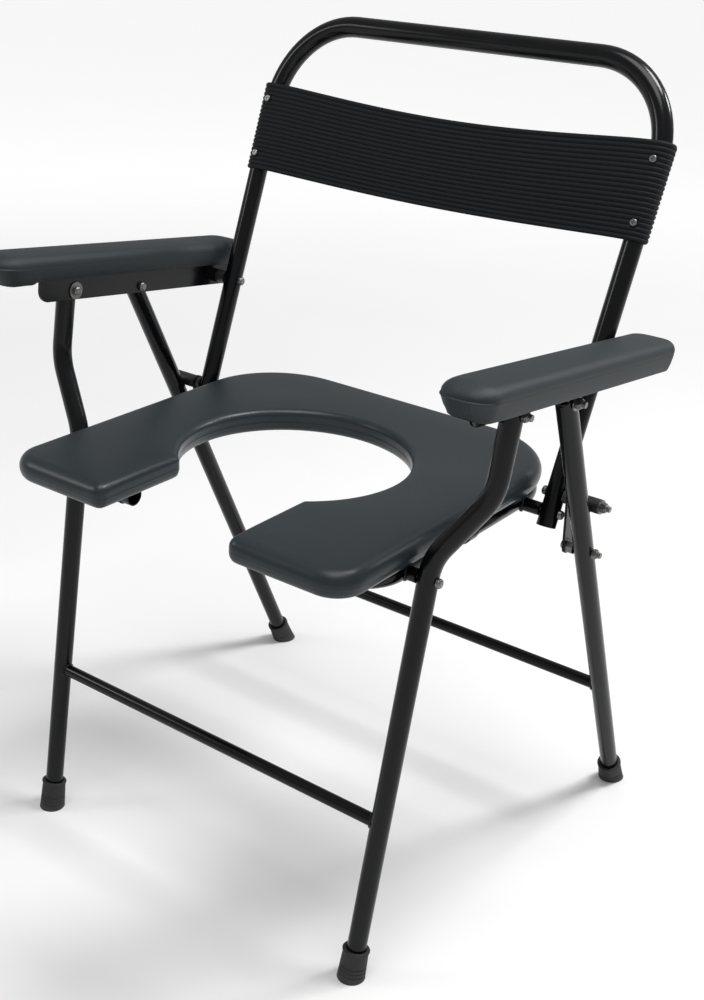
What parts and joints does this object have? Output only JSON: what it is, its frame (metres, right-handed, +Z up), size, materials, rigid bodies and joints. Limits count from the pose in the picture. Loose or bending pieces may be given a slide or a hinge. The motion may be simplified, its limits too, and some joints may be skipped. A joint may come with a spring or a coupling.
{
  "type": "folding commode chair",
  "caption": "Folding steel-tube commode chair with a round-holed, open-front moulded seat, padded arms and a ribbed back band.",
  "frame": {"origin": "on the floor, on the centre plane, at the centre of the overall plan", "axes": "+X to the sitter's left, +Y to the back of the chair, +Z up"},
  "size_m": [0.644, 0.6231, 0.9163],
  "materials": {
    "black_enamel": "satin-gloss black powder coat",
    "moulded_pad": "satin integral-skin foam, fine grain, charcoal",
    "ribbed_band": "matte ribbed rubberised band, black",
    "tip_rubber": "matte moulded rubber",
    "sleeve_plastic": "matte black tube",
    "board": "black-stained plywood",
    "zinc": "bright zinc plate, slightly dull"
  },
  "bodies": {
    "back": {"back_frame": "black_enamel", "back_band": "ribbed_band", "band_screws": "zinc", "arm_pivot_bolts": "zinc", "arm_pivot_spacers": "sleeve_plastic", "arm_pivot_nuts": "zinc", "stop_bolts": "zinc", "stop_spacers": "sleeve_plastic", "stop_sleeves": "sleeve_plastic", "stop_nuts": "zinc", "seat_pivot_bolts": "zinc", "seat_pivot_nuts": "zinc"},
    "seat": {"seat_pad": "moulded_pad", "seat_board": "board", "seat_frame_rail_left": "black_enamel", "seat_frame_rail_right": "black_enamel", "seat_frame_bend_left": "black_enamel", "seat_frame_bend_right": "black_enamel", "seat_frame_rear": "black_enamel", "seat_lugs": "black_enamel", "seat_clips": "black_enamel", "seat_clip_screws": "zinc"},
    "front_legs": {"front_leg_left": "black_enamel", "front_leg_right": "black_enamel", "front_crossbar": "black_enamel", "front_tip_left": "tip_rubber", "front_tip_right": "tip_rubber", "front_arm_bolts": "zinc", "front_arm_nuts": "zinc", "front_seat_bolts": "zinc", "front_seat_nuts": "zinc"},
    "rear_legs": {"rear_leg_left": "black_enamel", "rear_leg_right": "black_enamel", "rear_crossbar": "black_enamel", "rear_tip_left": "tip_rubber", "rear_tip_right": "tip_rubber", "link_bolt_shanks": "zinc", "link_nuts": "zinc"},
    "arm_left": {"arm_bracket_left": "black_enamel", "arm_pad_left": "moulded_pad", "arm_pad_screws_left": "zinc", "rear_leg_bolt_left": "zinc", "rear_leg_nut_left": "zinc"},
    "link_left": {"link_plate_left": "black_enamel", "link_pin_left": "zinc"},
    "arm_right": {"arm_bracket_right": "black_enamel", "arm_pad_right": "moulded_pad", "arm_pad_screws_right": "zinc", "rear_leg_bolt_right": "zinc", "rear_leg_nut_right": "zinc"},
    "link_right": {"link_plate_right": "black_enamel", "link_pin_right": "zinc"}
  },
  "joints": [
    {"name": "seat_fold", "type": "hinge", "parent": "back", "child": "seat", "pos_m": [0, 0.04562, 0.469], "axis": [-1, 0, 0], "range_deg": [0, 88]},
    {"name": "front_legs_fold", "type": "hinge", "parent": "seat", "child": "front_legs", "pos_m": [0, -0.1875, 0.471], "axis": [1, 0, 0], "range_deg": [0, 79.6]},
    {"name": "arm_left_fold", "type": "hinge", "parent": "back", "child": "arm_left", "pos_m": [0.25, 0.0978, 0.616], "axis": [-1, 0, 0], "range_deg": [0, 83.8]},
    {"name": "arm_right_fold", "type": "hinge", "parent": "back", "child": "arm_right", "pos_m": [-0.25, 0.0978, 0.616], "axis": [-1, 0, 0], "range_deg": [0, 83.8]},
    {"name": "rear_legs_fold", "type": "hinge", "parent": "arm_left", "child": "rear_legs", "pos_m": [0.289, -0.0439, 0.629], "axis": [1, 0, 0], "range_deg": [0, 37.3]},
    {"name": "link_left_turn", "type": "hinge", "parent": "back", "child": "link_left", "pos_m": [0.268, 0.05271, 0.489], "axis": [-1, 0, 0], "range_deg": [0, 161.7]},
    {"name": "link_right_turn", "type": "hinge", "parent": "back", "child": "link_right", "pos_m": [-0.268, 0.05271, 0.489], "axis": [-1, 0, 0], "range_deg": [0, 161.7]}
  ],
  "couplings": [
    {"joint": "front_legs_fold", "follows": "seat_fold", "ratio": 0.9026},
    {"joint": "arm_left_fold", "follows": "seat_fold", "ratio": 0.9505},
    {"joint": "arm_right_fold", "follows": "seat_fold", "ratio": 0.9505},
    {"joint": "rear_legs_fold", "follows": "seat_fold", "ratio": 0.42272},
    {"joint": "link_left_turn", "follows": "seat_fold", "ratio": 1.8354},
    {"joint": "link_right_turn", "follows": "seat_fold", "ratio": 1.8354}
  ]
}
